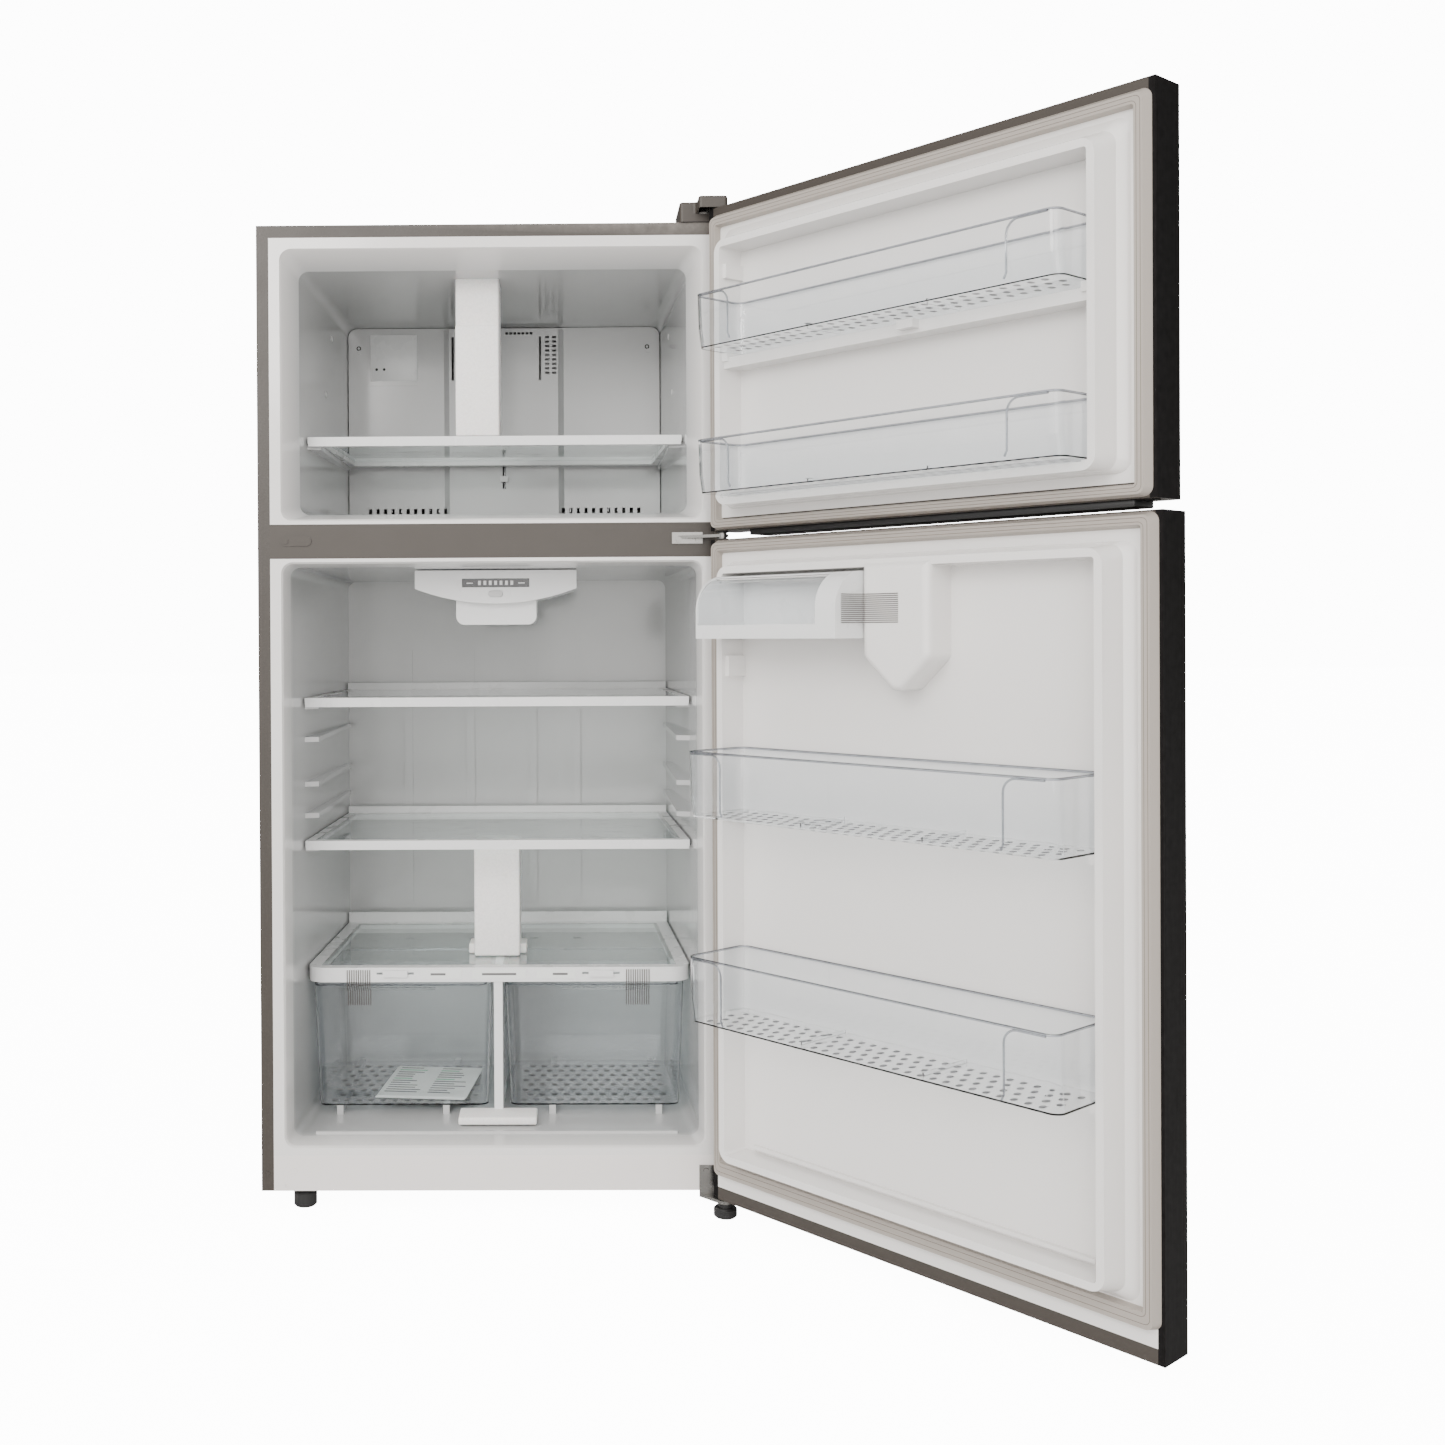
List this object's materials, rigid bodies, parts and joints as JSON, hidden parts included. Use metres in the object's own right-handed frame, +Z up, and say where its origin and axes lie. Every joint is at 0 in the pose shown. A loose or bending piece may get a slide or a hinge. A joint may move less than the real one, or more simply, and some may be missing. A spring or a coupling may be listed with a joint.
{
  "type": "top freezer refrigerator",
  "caption": "Upright refrigerator with a freezer compartment on top, hinged doors standing open, sliding shelves and crispers, lift-off door bins, rollers and screw feet.",
  "frame": {"origin": "on the floor, under the middle of the bounding box with both doors open", "axes": "+Z up, the cabinet's front faces -Y, the doors' hinges are on the +X side of the cabinet"},
  "size_m": [1.3941, 1.4024, 1.785],
  "materials": {
    "bare_aluminium": "mill finish",
    "black_paint": "satin black",
    "black_plastic": "matt",
    "clear_plastic": "clear moulding",
    "dark_steel": "dark satin",
    "foam": "rigid foam",
    "galvanised": "zinc plated",
    "grey_plastic": "matt",
    "seal": "soft satin",
    "shelf_glass": "tempered glass",
    "taupe_plastic": "matt moulding",
    "taupe_steel": "textured paint",
    "white_liner": "semi-gloss moulding"
  },
  "bodies": {
    "cabinet": {"outer_case": "taupe_steel", "back_panel": "galvanised", "base_pan": "galvanised", "mullion_rail": "taupe_steel", "kick_panel": "grey_plastic", "freezer_liner": "white_liner", "fridge_liner": "white_liner", "insulation": "foam", "evaporator_cover": "white_liner", "evaporator": "bare_aluminium", "defrost_heater": "galvanised", "evaporator_fan_motor": "black_plastic", "control_box": "white_liner", "crisper_cover": "white_liner", "crisper_glass": "shelf_glass", "machine_cover": "galvanised", "compressor": "black_paint", "condenser": "black_paint", "condenser_fan_motor": "black_plastic", "cord_gland": "black_plastic", "top_hinge": "galvanised", "top_hinge_cover": "taupe_plastic", "middle_hinge": "galvanised", "lower_hinge": "galvanised"},
    "freezer_door": {"freezer_door_skin": "dark_steel", "freezer_door_caps": "taupe_plastic", "freezer_door_liner": "white_liner", "freezer_door_gasket": "seal", "freezer_door_foam": "foam", "freezer_handle": "dark_steel"},
    "fridge_door": {"fridge_door_skin": "dark_steel", "fridge_door_caps": "taupe_plastic", "fridge_door_liner": "white_liner", "fridge_door_gasket": "seal", "fridge_door_foam": "foam", "fridge_handle": "dark_steel", "dairy_housing": "white_liner"},
    "dairy_lid": {"dairy_cover": "clear_plastic"},
    "freezer_shelf": {"freezer_shelf": "white_liner", "freezer_shelf_glass": "shelf_glass"},
    "upper_shelf": {"upper_shelf": "white_liner", "upper_shelf_glass": "shelf_glass"},
    "lower_shelf": {"lower_shelf": "white_liner", "lower_shelf_glass": "shelf_glass"},
    "crisper_left": {"crisper_left": "clear_plastic"},
    "crisper_right": {"crisper_right": "clear_plastic"},
    "freezer_bin_lower": {"freezer_bin_lower": "clear_plastic"},
    "freezer_bin_upper": {"freezer_bin_upper": "clear_plastic"},
    "fridge_bin_lower": {"fridge_bin_lower": "clear_plastic"},
    "fridge_bin_upper": {"fridge_bin_upper": "clear_plastic"},
    "humidity_slider_left": {"humidity_slider_left": "grey_plastic"},
    "humidity_slider_right": {"humidity_slider_right": "grey_plastic"},
    "air_control_knob": {"air_control_knob": "grey_plastic"},
    "control_button": {"control_button": "grey_plastic"},
    "evaporator_fan": {"evaporator_fan": "black_plastic"},
    "condenser_fan": {"condenser_fan": "black_plastic"},
    "roller_left": {"roller_left": "black_plastic"},
    "roller_right": {"roller_right": "black_plastic"},
    "foot_left": {"foot_left": "black_plastic"},
    "foot_right": {"foot_right": "black_plastic"}
  },
  "joints": [
    {"name": "freezer_door_hinge", "type": "hinge", "parent": "cabinet", "child": "freezer_door", "pos_m": [0.1227, -0.05108, 1.48], "axis": [0, 0, 1], "range_deg": [-130, 5]},
    {"name": "fridge_door_hinge", "type": "hinge", "parent": "cabinet", "child": "fridge_door", "pos_m": [0.1227, -0.05108, 0.61], "axis": [0, 0, 1], "range_deg": [-131, 4]},
    {"name": "dairy_cover_flip", "type": "hinge", "parent": "fridge_door", "child": "dairy_lid", "pos_m": [0.17251, -0.22574, 1.111], "axis": [-0.6561, 0.7547, 0], "range_deg": [0, 70]},
    {"name": "freezer_shelf_slide", "type": "slide", "parent": "cabinet", "child": "freezer_shelf", "axis": [0, -1, 0], "range_m": [0, 0.28]},
    {"name": "upper_shelf_slide", "type": "slide", "parent": "cabinet", "child": "upper_shelf", "axis": [0, -1, 0], "range_m": [0, 0.28]},
    {"name": "lower_shelf_slide", "type": "slide", "parent": "cabinet", "child": "lower_shelf", "axis": [0, -1, 0], "range_m": [0, 0.28]},
    {"name": "crisper_left_slide", "type": "slide", "parent": "cabinet", "child": "crisper_left", "axis": [0, -1, 0], "range_m": [0, 0.26]},
    {"name": "crisper_right_slide", "type": "slide", "parent": "cabinet", "child": "crisper_right", "axis": [0, -1, 0], "range_m": [0, 0.26]},
    {"name": "freezer_bin_lower_lift", "type": "slide", "parent": "freezer_door", "child": "freezer_bin_lower", "axis": [0, 0, 1], "range_m": [0, 0.03]},
    {"name": "freezer_bin_upper_lift", "type": "slide", "parent": "freezer_door", "child": "freezer_bin_upper", "axis": [0, 0, 1], "range_m": [0, 0.03]},
    {"name": "fridge_bin_lower_lift", "type": "slide", "parent": "fridge_door", "child": "fridge_bin_lower", "axis": [0, 0, 1], "range_m": [0, 0.03]},
    {"name": "fridge_bin_upper_lift", "type": "slide", "parent": "fridge_door", "child": "fridge_bin_upper", "axis": [0, 0, 1], "range_m": [0, 0.03]},
    {"name": "humidity_slider_left_slide", "type": "slide", "parent": "cabinet", "child": "humidity_slider_left", "axis": [1, 0, 0], "range_m": [-0.02, 0.02]},
    {"name": "humidity_slider_right_slide", "type": "slide", "parent": "cabinet", "child": "humidity_slider_right", "axis": [1, 0, 0], "range_m": [-0.02, 0.02]},
    {"name": "air_control_slide", "type": "slide", "parent": "cabinet", "child": "air_control_knob", "axis": [0, 0, 1], "range_m": [-0.018, 0.018]},
    {"name": "control_button_press", "type": "slide", "parent": "cabinet", "child": "control_button", "axis": [0, 1, 0], "range_m": [0, 0.002], "stiffness_N_per_m": 300},
    {"name": "evaporator_fan_spin", "type": "hinge", "parent": "cabinet", "child": "evaporator_fan", "pos_m": [-0.2823, 0.55292, 1.57236], "axis": [0, 1, 0], "continuous": true},
    {"name": "condenser_fan_spin", "type": "hinge", "parent": "cabinet", "child": "condenser_fan", "pos_m": [-0.3423, 0.59193, 0.135], "axis": [1, 0, 0], "continuous": true},
    {"name": "roller_left_spin", "type": "hinge", "parent": "cabinet", "child": "roller_left", "pos_m": [-0.6123, 0.61892, 0.016], "axis": [1, 0, 0], "continuous": true},
    {"name": "roller_right_spin", "type": "hinge", "parent": "cabinet", "child": "roller_right", "pos_m": [0.0477, 0.61892, 0.016], "axis": [1, 0, 0], "continuous": true},
    {"name": "foot_left_screw", "type": "slide", "parent": "cabinet", "child": "foot_left", "axis": [0, 0, -1], "range_m": [0, 0.008]},
    {"name": "foot_right_screw", "type": "slide", "parent": "cabinet", "child": "foot_right", "axis": [0, 0, -1], "range_m": [0, 0.008]}
  ]
}
